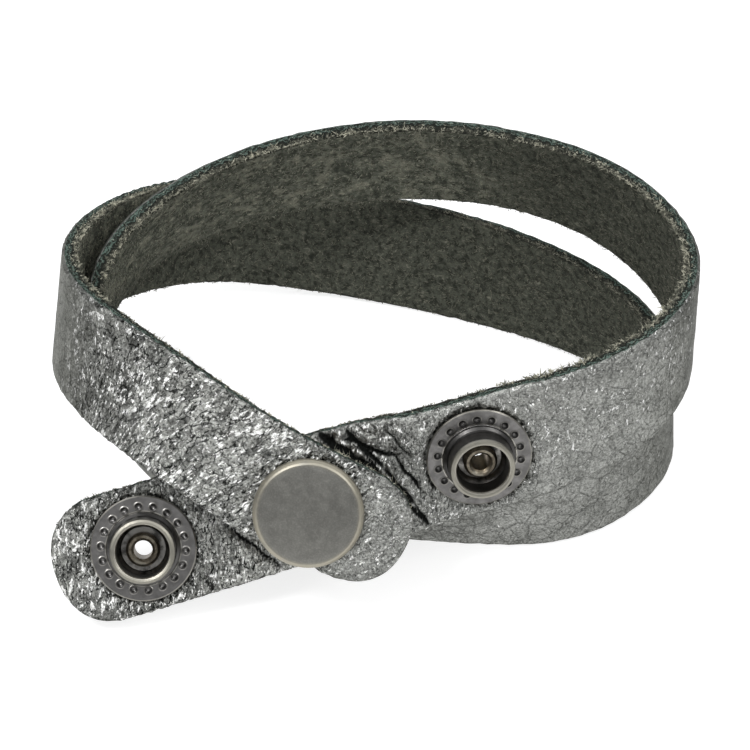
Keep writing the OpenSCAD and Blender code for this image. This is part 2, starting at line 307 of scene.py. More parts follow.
# Painted shade at the turns and along some edges, painted light on the free end's right and by the cap: rise
# from, rise to, fall from, fall to, change, side.
paintedLightStretches = [
    (72, 84, 100, 116, -0.16, "whole"),
    (-56, -48, -42, -36, -0.16, "whole"),
    (50, 60, 100, 120, -0.05, "lower"),
    (-2, -1, 16, 24, -0.28, "lower"),
    (244, 256, 286, 300, -0.17, "whole"),
    (55, 64, 84, 96, -0.13, "upper"),
    (-38, -26, -18, -12, 0.22, "whole"),
    (15, 20, 26, 32, 0.35, "whole"),
]
# Where the upper cut edge is shaggiest, from the right stud to the back and on the left turns.
shaggyStretches = [
    (54, 64, 112, 124, 1.0),
    (136, 150, 184, 196, 0.6),
    (364, 378, 410, 422, 0.9),
]


# Share of its tone that the foil keeps under the painted light and shade.
def paintedLightAt(s, v):
    sides = {"whole": 1, "lower": eased(-2, -5, v), "upper": eased(1.5, 5, v)}
    return 1 + sum(change * sides[side] * stretchOf(s, *ends) for *ends, change, side in paintedLightStretches)


def shaggyAt(s):
    return sum(amount * stretchOf(s, *ends) for *ends, amount in shaggyStretches)


# Coordinates turned so that the second one runs along the streaks.
def streakPlace(s, v):
    low, high = grain["streakTurns"]
    late = s > strapLength / 2
    turn = low + (high - low) * eased(strapLength - 57, strapLength - 22, s)
    turn = np.radians(np.where(late, turn, grain["freeEndTurn"]))
    along = s - np.where(late, strapLength - 35, studPlaces[0])
    return along * np.cos(turn) - v * np.sin(turn), along * np.sin(turn) + v * np.cos(turn)


def grainRelief(s, v):
    amount = crinkled(s, v)
    warpS = s + 0.5 * smoothNoise(s, v, 2.0, 9.0)
    warpV = v + 0.5 * smoothNoise(s, v, 2.0, 4.0)
    pebbled = np.minimum(cellEdges(warpS, warpV, grain["pebble"], 1.0), grain["pebbleEdge"])
    relief = grain["pebbleDepth"] * (pebbled / grain["pebbleEdge"] - 1)
    overStreak, alongStreak = streakPlace(warpS, warpV)
    streaked = ridges(overStreak, alongStreak / grain["streakLong"], grain["streak"], 5.0)
    relief += grain["streakDepth"] * amount * streaked
    relief += grain["crinkleDepth"] * amount * ridges(warpS, warpV, grain["crinkle"], 7.0)
    relief += grain["waveDepth"] * smoothNoise(s, v, grain["wave"], 2.0)
    for at in studPlaces:
        away = np.hypot(s - at, v)
        inside = 1 - eased(grain["pressedRadius"] - 0.12, grain["pressedRadius"] + 0.3, away)
        fromPillow = (away - grain["pressedRadius"] - grain["pillowFrom"]) / grain["pillowWide"]
        swell = grain["pillow"] * np.exp(-fromPillow ** 2)
        relief = (relief + swell) * (1 - inside) - grain["pressed"] * inside
    under = 1 - eased(grain["capBed"], grain["capBedEdge"], clearOfCap(s, v))
    relief = relief * (1 - under) - grain["capBedDepth"] * under
    crease, ridge = creaseDepth(s, v)
    clear = eased(grain["pressedRadius"] + 0.2, grain["pressedRadius"] + 1.0, clearOfStuds(s, v))
    return relief + (ridge - crease) * clear


def suedeRelief(s, v):
    return 0.05 * smoothNoise(s, v, 0.9, 12.0) + 0.03 * smoothNoise(s, v, 0.45, 14.0)


# The blank is cut flat, punched, and then wound.
blank = {
    "creaseStep": 0.21,
    "creaseStretch": (33.5, 46.0),
    "endReach": 16.0,
    "fineStep": 0.31,
    "plainStep": 0.90,
    "acrossCuts": 44,
    "layers": (0.35, 0.55, 0.75, 0.35),
    "punch": 1.75,
}


# Lengths along the strap of the rows of the blank, closer where the grain shows most.
def ringPlaces():
    s = np.linspace(0, strapLength, 4000)
    front = 1 - eased(58, 86, s)
    diagonal = eased(strapLength - 118, strapLength - 96, s)
    step = blank["plainStep"] + (blank["fineStep"] - blank["plainStep"]) * np.maximum(front, diagonal)
    low, high = blank["creaseStretch"]
    step = np.where((s > low) & (s < high), blank["creaseStep"], step)
    count = np.concatenate([[0], np.cumsum(np.diff(s) / step[1:])])
    return np.interp(np.linspace(0, count[-1], int(count[-1]) + 1), count, s)


def selectOnly(obj):
    bpy.ops.object.select_all(action="DESELECT")
    obj.select_set(True)
    bpy.context.view_layer.objects.active = obj


def pointsOf(mesh):
    points = np.empty(len(mesh.vertices) * 3)
    mesh.vertices.foreach_get("co", points)
    return points.reshape(-1, 3)


def setPoints(mesh, points):
    mesh.vertices.foreach_set("co", points.astype(np.float32).ravel())
    mesh.update()


# How far the rounded end lies from the tip, at a share of the half width.
def endGap(share):
    full = strap["endFullness"]
    return strap["endRound"] * (1 - (1 - np.clip(np.abs(share), 0, 1) ** full) ** (1 / full))


# A closed flat strap, x along, y across and z through the leather, in millimetres.
def cutFlatBlank():
    rings = ringPlaces()
    bpy.ops.object.select_all(action="DESELECT")
    bpy.ops.mesh.primitive_grid_add(x_subdivisions=len(rings) - 1, y_subdivisions=blank["acrossCuts"], size=2)
    piece = bpy.context.object
    piece.name = "leatherStrap"
    bpy.ops.object.mode_set(mode="EDIT")
    bpy.ops.mesh.select_all(action="SELECT")
    for layer in blank["layers"]:
        bpy.ops.mesh.extrude_region_move(TRANSFORM_OT_translate={"value": (0, 0, layer)})
    bpy.ops.mesh.select_all(action="SELECT")
    bpy.ops.mesh.normals_make_consistent(inside=False)
    bpy.ops.object.mode_set(mode="OBJECT")
    points = pointsOf(piece.data)
    row = np.rint((points[:, 0] + 1) / 2 * (len(rings) - 1)).astype(int)
    along = rings[row]
    nearEnd = 1 - eased(10, 26, np.minimum(along, strapLength - along))
    share = points[:, 1] + nearEnd * (np.sin(points[:, 1] * np.pi / 2) - points[:, 1])
    depth = points[:, 2] - strap["thickness"] / 2
    atFace = np.abs(np.abs(depth) - strap["thickness"] / 2) < 1e-4
    inset = np.where(atFace, strap["edgeEase"], 0)
    across = share * (cutHalf(along) - inset)
    reach = blank["endReach"]
    gap = endGap(share) + inset
    along = np.where(along < reach, gap + along * (1 - gap / reach), along)
    fromEnd = strapLength - along
    along = np.where(fromEnd < reach, strapLength - gap - fromEnd * (1 - gap / reach), along)
    setPoints(piece.data, np.stack([along, across, depth], 1))
    return piece


# Round holes for the rivets and the cap's post: both faces opened, then joined by a wall.
def punchHoles(piece):
    for at, side in snapPlaces:
        selectOnly(piece)
        bpy.ops.object.mode_set(mode="EDIT")
        bpy.ops.mesh.select_mode(type="FACE")
        bpy.ops.mesh.select_all(action="DESELECT")
        bpy.ops.object.mode_set(mode="OBJECT")
        mesh = piece.data
        centres = np.empty(len(mesh.polygons) * 3)
        mesh.polygons.foreach_get("center", centres)
        centres = centres.reshape(-1, 3)
        away = np.hypot(centres[:, 0] - at, centres[:, 1] - side)
        mesh.polygons.foreach_set("select", away < blank["punch"])
        mesh.update()
        bpy.ops.object.mode_set(mode="EDIT")
        bpy.ops.mesh.delete(type="FACE")
        bpy.ops.mesh.select_mode(type="EDGE")
        bpy.ops.mesh.select_non_manifold(
            extend=False,
            use_wire=False,
            use_multi_face=False,
            use_non_contiguous=False,
            use_verts=False,
        )
        bpy.ops.mesh.bridge_edge_loops()
        bpy.ops.object.mode_set(mode="OBJECT")
        points = pointsOf(mesh)
        away = np.hypot(points[:, 0] - at, points[:, 1] - side)
        rim = away < blank["punch"] + 0.4
        used = np.zeros(len(points), bool)
        ends = np.array([edge.vertices[:] for edge in mesh.edges])
        rise = np.abs(points[ends[:, 0], 2] - points[ends[:, 1], 2])
        used[ends[rise > strap["thickness"] * 0.9].ravel()] = True
        rim &= used
        factor = blank["punch"] / away[rim]
        points[rim, 0] = at + (points[rim, 0] - at) * factor
        points[rim, 1] = side + (points[rim, 1] - side) * factor
        setPoints(mesh, points)


# Lays the relief on the flat blank and winds it round, keeping each point's flat place as an attribute.
def windBlank(piece):
    mesh = piece.data
    flat = pointsOf(mesh)
    s, v, h = flat.T.copy()
    half = strap["thickness"] / 2
    fromEdge = cutHalf(s) - np.abs(v)
    atEdge = 1 - eased(0.3, 0.7, fromEdge)
    top = h > 0
    relief = np.zeros(len(s))
    relief[top] = grainRelief(s[top], v[top]) * eased(0.2, half, h[top])
    relief[~top] = suedeRelief(s[~top], v[~top]) * eased(0.2, half, -h[~top])
    ragged = 0.14 * smoothNoise(s, h * 1.5, 0.9, 20.0) + 0.10 * smoothNoise(s, h, 0.4, 22.0)
    outward = np.sign(v) * atEdge * ragged
    place, travel, across, face = strapFrame(s)
    wound = place + (v + outward)[:, None] * across + (h + relief)[:, None] * face
    wound[:, 2] = np.maximum(wound[:, 2], 0)
    setPoints(mesh, wound * mm)
    streaked = np.stack([*streakPlace(s, v), h], 1)
    for name, values in (("flatPlace", flat * mm), ("streakPlace", streaked * mm)):
        attribute = mesh.attributes.new(name, "FLOAT_VECTOR", "POINT")
        attribute.data.foreach_set("vector", values.astype(np.float32).ravel())
    crease, ridge = creaseDepth(s, v)
    numbers = {
        "crinkle": crinkled(s, v),
        "paintedLight": paintedLightAt(s, v),
        "shaggy": shaggyAt(s),
        "creased": np.where(top, np.clip(crease / grain["fullCrease"], 0, 1), 0),
        "ridged": np.where(top, np.clip(ridge / grain["fullRidge"], 0, 1), 0),
    }
    for name, values in numbers.items():
        attribute = mesh.attributes.new(name, "FLOAT", "POINT")
        attribute.data.foreach_set("value", values.astype(np.float32))
    return flat


strapPiece = cutFlatBlank()
print("blank cut:", len(strapPiece.data.polygons), "faces")
punchHoles(strapPiece)
print("holes punched")
flatPoints = windBlank(strapPiece)
print("strap wound, length", round(strapLength, 1), "mm")


# Links an output to a socket, or sets a value or a colour on the socket itself.
def fill(tree, socket, value):
    if isinstance(value, bpy.types.NodeSocket):
        tree.links.new(value, socket)
    elif value is not None:
        socket.default_value = (*value, 1) if socket.type == "RGBA" else value


def newMaterial(name):
    material = bpy.data.materials.new(name)
    material.use_nodes = True
    tree = material.node_tree
    return material, tree, tree.nodes["Principled BSDF"]


# Sockets are named with an underscore for a space.
def fillSockets(tree, node, **values):
    for key, value in values.items():
        fill(tree, node.inputs[key.replace("_", " ")], value)


def addNode(tree, kind, **values):
    node = tree.nodes.new("ShaderNode" + kind)
    for key, value in values.items():
        if hasattr(node, key):
            setattr(node, key, value)
        else:
            fillSockets(tree, node, **{key: value})
    return node


def mathNode(tree, operation, first, second=None, clamp=False):
    node = addNode(tree, "Math", operation=operation, use_clamp=clamp)
    fill(tree, node.inputs[0], first)
    fill(tree, node.inputs[1], second)
    return node.outputs[0]


def times(tree, first, second):
    return mathNode(tree, "MULTIPLY", first, second)


def plus(tree, first, second, clamp=False):
    return mathNode(tree, "ADD", first, second, clamp)


def minus(tree, first, second):
    return mathNode(tree, "SUBTRACT", first, second)


def larger(tree, first, second):
    return mathNode(tree, "MAXIMUM", first, second)


def vectorNode(tree, operation, *vectors, **sockets):
    node = addNode(tree, "VectorMath", operation=operation, **sockets)
    for socket, value in zip(node.inputs, vectors):
        fill(tree, socket, value)
    return node.outputs["Vector"]


# The three outputs x, y and z of a vector.
def parted(tree, vector):
    return addNode(tree, "SeparateXYZ", Vector=vector).outputs


# A number that the piece carries at each point.
def carried(tree, name):
    return addNode(tree, "Attribute", attribute_name=name).outputs["Fac"]


def rangeNode(tree, value, low, high, newLow=0, newHigh=1):
    node = addNode(tree, "MapRange", interpolation_type="SMOOTHSTEP", Value=value)
    fillSockets(tree, node, From_Min=low, From_Max=high, To_Min=newLow, To_Max=newHigh)
    return node.outputs["Result"]


# Rises from 0 to full and falls back.
def bandNode(tree, value, riseFrom, riseTo, fallFrom, fallTo, full=1):
    rise = rangeNode(tree, value, riseFrom, riseTo, 0, full)
    return times(tree, rise, rangeNode(tree, value, fallFrom, fallTo, 1, 0))


def colourMix(tree, share, first, second):
    node = addNode(tree, "Mix", data_type="RGBA")
    for index, value in ((0, share), (6, first), (7, second)):
        fill(tree, node.inputs[index], value)
    return node.outputs[2]


# Colours laid over a body in turn, each by its own share.
def layered(tree, body, *layers):
    for share, colour in layers:
        body = colourMix(tree, share, body, colour)
    return body


def tonedNode(tree, colour, value):
    return addNode(tree, "HueSaturation", Color=colour, Value=value).outputs["Color"]


# The point's place on the flat strap, scaled, as the pattern's coordinates.
def flatPlaceNode(tree, scale, name="flatPlace"):
    source = addNode(tree, "Attribute", attribute_name=name).outputs["Vector"]
    return addNode(tree, "Mapping", Vector=source, Scale=scale).outputs["Vector"]


def noiseNode(tree, vector, scale, detail=2.0, rough=0.5, distortion=0.0):
    node = addNode(tree, "TexNoise", noise_type="FBM", Vector=vector, Scale=scale)
    fillSockets(tree, node, Detail=detail, Roughness=rough, Distortion=distortion)
    return node.outputs["Fac"]


def crackNode(tree, vector, scale):
    node = addNode(tree, "TexVoronoi", feature="DISTANCE_TO_EDGE", Vector=vector, Scale=scale)
    return node.outputs["Distance"]


def bumpNode(tree, height, distance, strength, before=None):
    node = addNode(tree, "Bump", Height=height, Distance=distance, Strength=strength, Normal=before)
    return node.outputs["Normal"]


# The normal turned a random way in each cell, as on crumpled foil; the second output is the cell's turn one
# way, by which the foil's facets get painted shade.
def facetedNormal(tree, vector, scale, amount, before):
    cells = addNode(tree, "TexVoronoi", feature="F1", Vector=vector, Scale=scale).outputs["Color"]
    centred = vectorNode(tree, "SUBTRACT", cells, (0.5, 0.5, 0.5))
    turned = vectorNode(tree, "ADD", before, vectorNode(tree, "SCALE", centred, Scale=amount))
    tone = addNode(tree, "SeparateColor", Color=cells).outputs[0]
    return vectorNode(tree, "NORMALIZE", turned), tone


# A pattern's coordinates pushed about by noise, so that no line in it is straight.
def warpedPlace(tree, vector, scale, distance):
    warp = addNode(tree, "TexNoise", Vector=vector, Scale=scale).outputs["Color"]
    return vectorNode(tree, "MULTIPLY_ADD", warp, (distance,) * 3, vector)


# Pewter foil on grain leather. Scales are cells per metre.
foil = {
    "pale": (0.43, 0.435, 0.41),
    "dark": (0.305, 0.31, 0.29),
    "grazing": (0.28, 0.28, 0.27),
    # Dark colour of the cracks, also used for the foil's painted shade.
    "crackAndShade": (0.012, 0.013, 0.012),
    # Near-white colour of the painted glints and sparkle.
    "glint": (0.95, 0.95, 0.93),
    "glintLift": (0.0, 0.0, 0.5),
    "facets": 1900,
    "smallFacets": 3600,
    "facetTilt": 0.85,
    "smallTilt": 0.95,
    "pebbles": 370,
    "wrinkles": 640,
    "crackWidth": 0.026,
    "roughLow": 0.26,
    "roughHigh": 0.42,
}


def makeFoil():
    material, tree, shader = newMaterial("pewterFoilLeather")
    place = flatPlaceNode(tree, (1, 1, 1))
    spot = warpedPlace(tree, place, 620, 0.0006)
    streaks = warpedPlace(tree, flatPlaceNode(tree, (1, 0.42, 1), name="streakPlace"), 900, 0.0004)
    crinkle = carried(tree, "crinkle")
    creased = carried(tree, "creased")
    ridged = carried(tree, "ridged")
    own = addNode(tree, "NewGeometry").outputs["Normal"]
    wear = noiseNode(tree, place, 230, 3.0, 0.6)
    soft = noiseNode(tree, spot, 950, 3.0, 0.6)
    fine = noiseNode(tree, spot, 3600, 3.0, 0.65)
    grit = noiseNode(tree, place, 4400, 2.0, 0.6)
    folds = noiseNode(tree, streaks, 1500, 3.0, 0.6)
    tilt = times(tree, rangeNode(tree, crinkle, 0, 1, 0.10, 1), foil["facetTilt"])
    normal, tone = facetedNormal(tree, streaks, foil["facets"], tilt, own)
    smallTilt = times(tree, rangeNode(tree, crinkle, 0, 1, 0.22, 1), foil["smallTilt"])
    small = warpedPlace(tree, place, 2400, 0.0002)
    normal = facetedNormal(tree, small, foil["smallFacets"], smallTilt, normal)[0]
    pebble = crackNode(tree, spot, foil["pebbles"])
    wrinkle = crackNode(tree, spot, foil["wrinkles"])
    broken = noiseNode(tree, place, 420, 3.0, 0.6)
    crackShare = rangeNode(tree, broken, 0.42, 0.60, 0.2, 1)
    wrinkleShare = rangeNode(tree, broken, 0.42, 0.60, 1, 0)
    crackLine = times(tree, rangeNode(tree, pebble, 0, foil["crackWidth"], 1, 0), crackShare)
    wrinkleLine = times(tree, rangeNode(tree, wrinkle, 0, 0.05, 0.7, 0), wrinkleShare)
    smooth = rangeNode(tree, crinkle, 0.25, 0.75, 1, 0.3)
    valley = rangeNode(tree, pebble, 0.01, 0.11, 0.34, 0)
    crackLine = larger(tree, larger(tree, crackLine, wrinkleLine), valley)
    crackLine = times(tree, crackLine, smooth)
    body = colourMix(tree, rangeNode(tree, wear, 0.3, 0.7), foil["dark"], foil["pale"])
    # Painted shade: the low places of the fine bump and of the folds, and facets turned one way, are
    # darkened.
    fineHollowShade = times(tree, rangeNode(tree, fine, 0.38, 0.52, 0.7, 0), rangeNode(tree, crinkle, 0, 1, 0.5, 1))
    facetShade = times(tree, rangeNode(tree, tone, 0.0, 0.45, 0.42, 0), crinkle)
    foldShade = times(tree, rangeNode(tree, folds, 0.38, 0.48, 0.4, 0), crinkle)
    shadedMarks = (fineHollowShade, facetShade, foldShade)
    # Painted glints: near-white specks, most on crinkled foil, near cracks and on the crease ridges, with the
    # normal lifted upwards.
    specks = noiseNode(tree, streaks, 2700, 4.0, 0.7)
    lit = rangeNode(tree, soft, 0.42, 0.54, 0, 1.0)
    nearCrack = times(tree, rangeNode(tree, pebble, 0.05, 0.17, 1, 0), lit)
    nearCrack = times(tree, nearCrack, rangeNode(tree, crinkle, 0.09, 0.20, 0.2, 1))
    level = larger(tree, nearCrack, times(tree, crinkle, rangeNode(tree, soft, 0.40, 0.56, 0.5, 1.12)))
    zone = rangeNode(tree, noiseNode(tree, place, 260, 1.0, 0.5), 0.36, 0.64, 0.85, 1.2)
    level = times(tree, level, plus(tree, 1, times(tree, crinkle, minus(tree, zone, 1))))
    level = larger(tree, level, times(tree, ridged, 1.1))
    glint = rangeNode(tree, plus(tree, specks, times(tree, level, 0.15)), 0.70, 0.735)
    gritShare = rangeNode(tree, crinkle, 0.3, 0.9, 1, 0.4)
    darkGrit = times(tree, rangeNode(tree, grit, 0.34, 0.50, 0.42, 0), gritShare)
    # Fine specks painted toward the glint colour as sparkle.
    sparkleGrit = times(tree, rangeNode(tree, grit, 0.55, 0.72, 0, 0.30), gritShare)
    body = layered(tree, body, *[(share, foil["crackAndShade"]) for share in (*shadedMarks, darkGrit)])
    # The foil's tone scaled by the painted light and shade laid along the strap.
    body = tonedNode(tree, layered(tree, body, (sparkleGrit, foil["glint"])), carried(tree, "paintedLight"))
    # Thin dark lines along the crinkle's small creases, painted as shade.
    creaseNoise = noiseNode(tree, warpedPlace(tree, streaks, 1500, 0.0003), 1050, 2.0, 0.55)
    nearLine = mathNode(tree, "ABSOLUTE", minus(tree, creaseNoise, 0.5))
    lineShare = rangeNode(tree, crinkle, 0.2, 0.8, 0.16, 1)
    fineLines = times(tree, rangeNode(tree, nearLine, 0.006, 0.026, 0.95, 0), lineShare)
    body = layered(
        tree,
        body,
        (glint, foil["glint"]),
        (fineLines, foil["crackAndShade"]),
        (times(tree, crackLine, 0.62), foil["crackAndShade"]),
        # Painted shade in the buckling creases.
        (rangeNode(tree, creased, 0.30, 0.85), foil["crackAndShade"]),
    )
    rough = rangeNode(tree, soft, 0.3, 0.7, foil["roughLow"], foil["roughHigh"])
    rough = plus(tree, rough, rangeNode(tree, creased, 0.2, 0.9, 0, 0.4))
    rough = plus(tree, rough, times(tree, glint, 0.14))
    lifted = vectorNode(tree, "MULTIPLY_ADD", glint, foil["glintLift"], normal)
    normal = bumpNode(tree, times(tree, crackLine, -1), 0.00012, 0.8, lifted)
    normal = bumpNode(tree, times(tree, folds, rangeNode(tree, crinkle, 0, 1, 0.15, 1)), 0.0005, 0.9, normal)
    normal = bumpNode(tree, fine, 0.00018, 0.8, normal)
    fillSockets(tree, shader, Base_Color=body, Roughness=rough, Normal=normal)
    fillSockets(tree, shader, Metallic=0.95, Specular_Tint=foil["grazing"])
    return material


# The raw flesh side: dark olive charcoal with paler fibres, painted lighter in the upper stretch as light and
# darker low down as shade.
suede = {
    "deep": (0.036, 0.039, 0.031),
    "mid": (0.115, 0.121, 0.096),
    "pale": (0.36, 0.352, 0.275),
    "paintedShadeLow": 0.80,
    "paintedLightHigh": 1.38,
    "paintedShadeRight": 0.10,
    "paintedLightHeights": (0.012, 0.022),
    "paintedLightAcross": (0.007, 0.024),
}


# 0 low down and at the right, 1 high up elsewhere: the share of painted light on the flesh side, the rest
# painted shade.
def paintedLightShare(tree, paintedShadeRight):
    x, y, z = parted(tree, addNode(tree, "TexCoord").outputs["Object"])
    high = rangeNode(tree, z, *suede["paintedLightHeights"])
    return times(tree, high, rangeNode(tree, x, *suede["paintedLightAcross"], 1, paintedShadeRight))


def paintedLightBy(tree, colour, paintedShadeRight):
    lift = times(tree, paintedLightShare(tree, paintedShadeRight), suede["paintedLightHigh"] - suede["paintedShadeLow"])
    return tonedNode(tree, colour, plus(tree, lift, suede["paintedShadeLow"]))


def makeSuede():
    material, tree, shader = newMaterial("charcoalSuede")
    place = flatPlaceNode(tree, (1, 1, 1))
    patches = noiseNode(tree, place, 980, 5.0, 0.7)
    nap = noiseNode(tree, flatPlaceNode(tree, (0.6, 1, 1)), 1900, 4.0, 0.75, distortion=1.2)
    fine = noiseNode(tree, place, 4600, 2.0, 0.6)
    # Painted light high up and painted shade low down and at the right, which also scales the clouds and nap.
    paintedLit = paintedLightShare(tree, suede["paintedShadeRight"])
    clouds = noiseNode(tree, place, 420, 4.0, 0.65)
    body = colourMix(tree, rangeNode(tree, patches, 0.38, 0.60), suede["deep"], suede["mid"])
    combed = times(tree, rangeNode(tree, nap, 0.53, 0.70), rangeNode(tree, paintedLit, 0, 1, 0.55, 0.85))
    dull = times(tree, rangeNode(tree, clouds, 0.36, 0.50, 0.55, 0), paintedLit)
    clear = times(tree, rangeNode(tree, clouds, 0.50, 0.64, 0, 0.30), paintedLit)
    body = layered(tree, body, (combed, suede["pale"]), (dull, suede["deep"]), (clear, suede["pale"]))
    body = paintedLightBy(tree, body, suede["paintedShadeRight"])
    normal = bumpNode(tree, patches, 0.0007, 0.8)
    normal = bumpNode(tree, nap, 0.0004, 0.9, normal)
    normal = bumpNode(tree, fine, 0.00012, 0.6, normal)
    fillSockets(tree, shader, Base_Color=body, Normal=normal, Roughness=1.0, Specular_IOR_Level=0.08)
    return material


# The cut edge from foil to flesh: a dark line, two ragged lines of dyed green, then paler fibre.
cutEdge = {
    "dark": (0.016, 0.018, 0.015),
    "green": (0.098, 0.138, 0.118),
    "speck": (0.34, 0.35, 0.29),
    "fibre": (0.25, 0.244, 0.195),
}


def makeCutEdge():
    material, tree, shader = newMaterial("cutLeatherEdge")
    place = flatPlaceNode(tree, (1, 1, 1))
    ragged = noiseNode(tree, flatPlaceNode(tree, (1, 1, 0.5)), 1300, 4.0, 0.65)
    specks = noiseNode(tree, place, 3800, 2.0, 0.6)
    lift = times(tree, minus(tree, ragged, 0.5), 2.3)
    height = plus(tree, times(tree, parted(tree, place)[2], 1000), lift)
    outer = bandNode(tree, height, 0.38, 0.48, 0.68, 0.80)
    inner = bandNode(tree, height, -0.06, 0.04, 0.16, 0.26, 0.9)
    broken = rangeNode(tree, noiseNode(tree, place, 1500, 3.0, 0.6), 0.40, 0.52, 0.25, 1)
    green = times(tree, larger(tree, outer, inner), broken)
    body = colourMix(tree, green, cutEdge["dark"], cutEdge["green"])
    speckled = times(tree, green, rangeNode(tree, specks, 0.58, 0.68, 0, 0.8))
    body = colourMix(tree, speckled, body, cutEdge["speck"])
    patchy = noiseNode(tree, place, 700, 3.0, 0.6)
    shaggy = carried(tree, "shaggy")
    pale = rangeNode(tree, height, -0.25, -0.6, 0, 0.8)
    pale = times(tree, pale, rangeNode(tree, specks, 0.42, 0.62, 0.3, 1))
    pale = times(tree, pale, rangeNode(tree, patchy, 0.40, 0.58, 0.15, 1))
    pale = times(tree, pale, rangeNode(tree, shaggy, 0, 1, 0.45, 1))
    body = colourMix(tree, pale, body, cutEdge["fibre"])
    normal = bumpNode(tree, specks, 0.0002, 0.7, bumpNode(tree, ragged, 0.0006, 0.9))
    fillSockets(tree, shader, Base_Color=body, Normal=normal, Roughness=0.95, Specular_IOR_Level=0.1)
    return material


# Three finishes on one piece of leather, smooth over each face and sharp at the cut.
def finishStrap(piece):
    mesh = piece.data
    for material in (makeFoil(), makeSuede(), makeCutEdge()):
        mesh.materials.append(material)
    heights = flatPoints[:, 2]
    half = strap["thickness"] / 2
    slots = []
    for polygon in mesh.polygons:
        levels = heights[list(polygon.vertices)]
        if levels.min() > half - strap["edgeEase"] - 0.01:
            slots.append(0)
        elif levels.max() < 0.01 - half:
            slots.append(1)
        else:
            slots.append(2)
    mesh.polygons.foreach_set("material_index", np.array(slots, np.int32))
    mesh.polygons.foreach_set("use_smooth", np.ones(len(slots), bool))
    mesh.update()
    selectOnly(piece)
    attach(piece, "root")
    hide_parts("strap")


finishStrap(strapPiece)
print("strap finished")


# Loose fibres: along both cut edges on the flesh side, and a short nap over the flesh side.
fibres = {
    "perMillimetre": 34.0,
    "topShare": 0.80,
    "bottomLength": 0.55,
    "longest": 1.0,
    "depths": (-1.05, -0.9, 0.2),
    "outward": (0.15, 1.0),
    "inward": (-0.1, 1.1),
    "spread": 0.95,
    "sag": 0.6,
    "tufted": 0.55,
    "tuftLengths": (0.2, 0.5),
    "thick": 0.026,
    "tuftThick": 0.085,
    "napPerSquare": 4.2,
    "napLength": 0.5,
    "napThick": 0.055,
    "studClear": 4.2,
    "capClear": 6.4,
    "fringeDark": (0.085, 0.09, 0.07),
    "fringePale": (0.40, 0.388, 0.31),
    "napDark": (0.045, 0.049, 0.038),
    "napPale": (0.30, 0.295, 0.23),
    "steps": 2,
}


# Many closed three-sided hairs in one mesh, each bent as it goes, tapering to its tip.
def tuftMesh(name, roots, directions, sags, lengths, thick, steps):
    count = len(roots)
    thick = np.broadcast_to(thick, count)[:, None]
    directions = unitRows(directions)
    side = unitRows(np.cross(directions, unitRows(sags + 0.01)))
    other = np.cross(directions, side)
    rows = []
    for k in range(steps):
        share = k / steps
        centre = roots + directions * (lengths * share)[:, None] + sags * (lengths * share * share)[:, None]
        radius = thick * (1 - 0.6 * share)
        for turn in range(3):
            angle = turn * 2 * np.pi / 3
            rows.append(centre + radius * (np.cos(angle) * side + np.sin(angle) * other))
    rows.append(roots + directions * lengths[:, None] + sags * lengths[:, None])
    points = np.stack(rows, 1)
    points[:, :, 2] = np.maximum(points[:, :, 2], 0.01)
    each = 3 * steps + 1
    faces = [(0, 2, 1)]
    for k in range(steps - 1):
        for turn in range(3):
            a, b = 3 * k + turn, 3 * k + (turn + 1) % 3
            faces += [(a, b, b + 3), (a, b + 3, a + 3)]
    last = 3 * (steps - 1)
    faces += [(last + turn, last + (turn + 1) % 3, each - 1) for turn in range(3)]
    indices = (np.array(faces)[None] + (np.arange(count) * each)[:, None, None]).reshape(-1, 3)
    mesh = bpy.data.meshes.new(name)
    mesh.from_pydata((points.reshape(-1, 3) * mm).tolist(), [], indices.tolist())
    mesh.update()
    piece = bpy.data.objects.new(name, mesh)
    bpy.context.collection.objects.link(piece)
    return piece


# Loose fibres carry the flesh side's painted light and shade.
def makeFibre(name, dark, pale, paintedShadeRight):
    material, tree, shader = newMaterial(name)
    tone = noiseNode(tree, addNode(tree, "TexCoord").outputs["Object"], 1300, 3.0, 0.6)
    body = colourMix(tree, rangeNode(tree, tone, 0.35, 0.65), dark, pale)
    body = paintedLightBy(tree, body, paintedShadeRight)
    fillSockets(tree, shader, Base_Color=body, Roughness=0.8, Specular_IOR_Level=0.2)
    return material


def halfWidthAt(s):
    full = strap["endFullness"]
    inward = np.clip(np.minimum(s, strapLength - s) / strap["endRound"], 0, 1)
    return cutHalf(s) * (1 - (1 - inward) ** full) ** (1 / full)


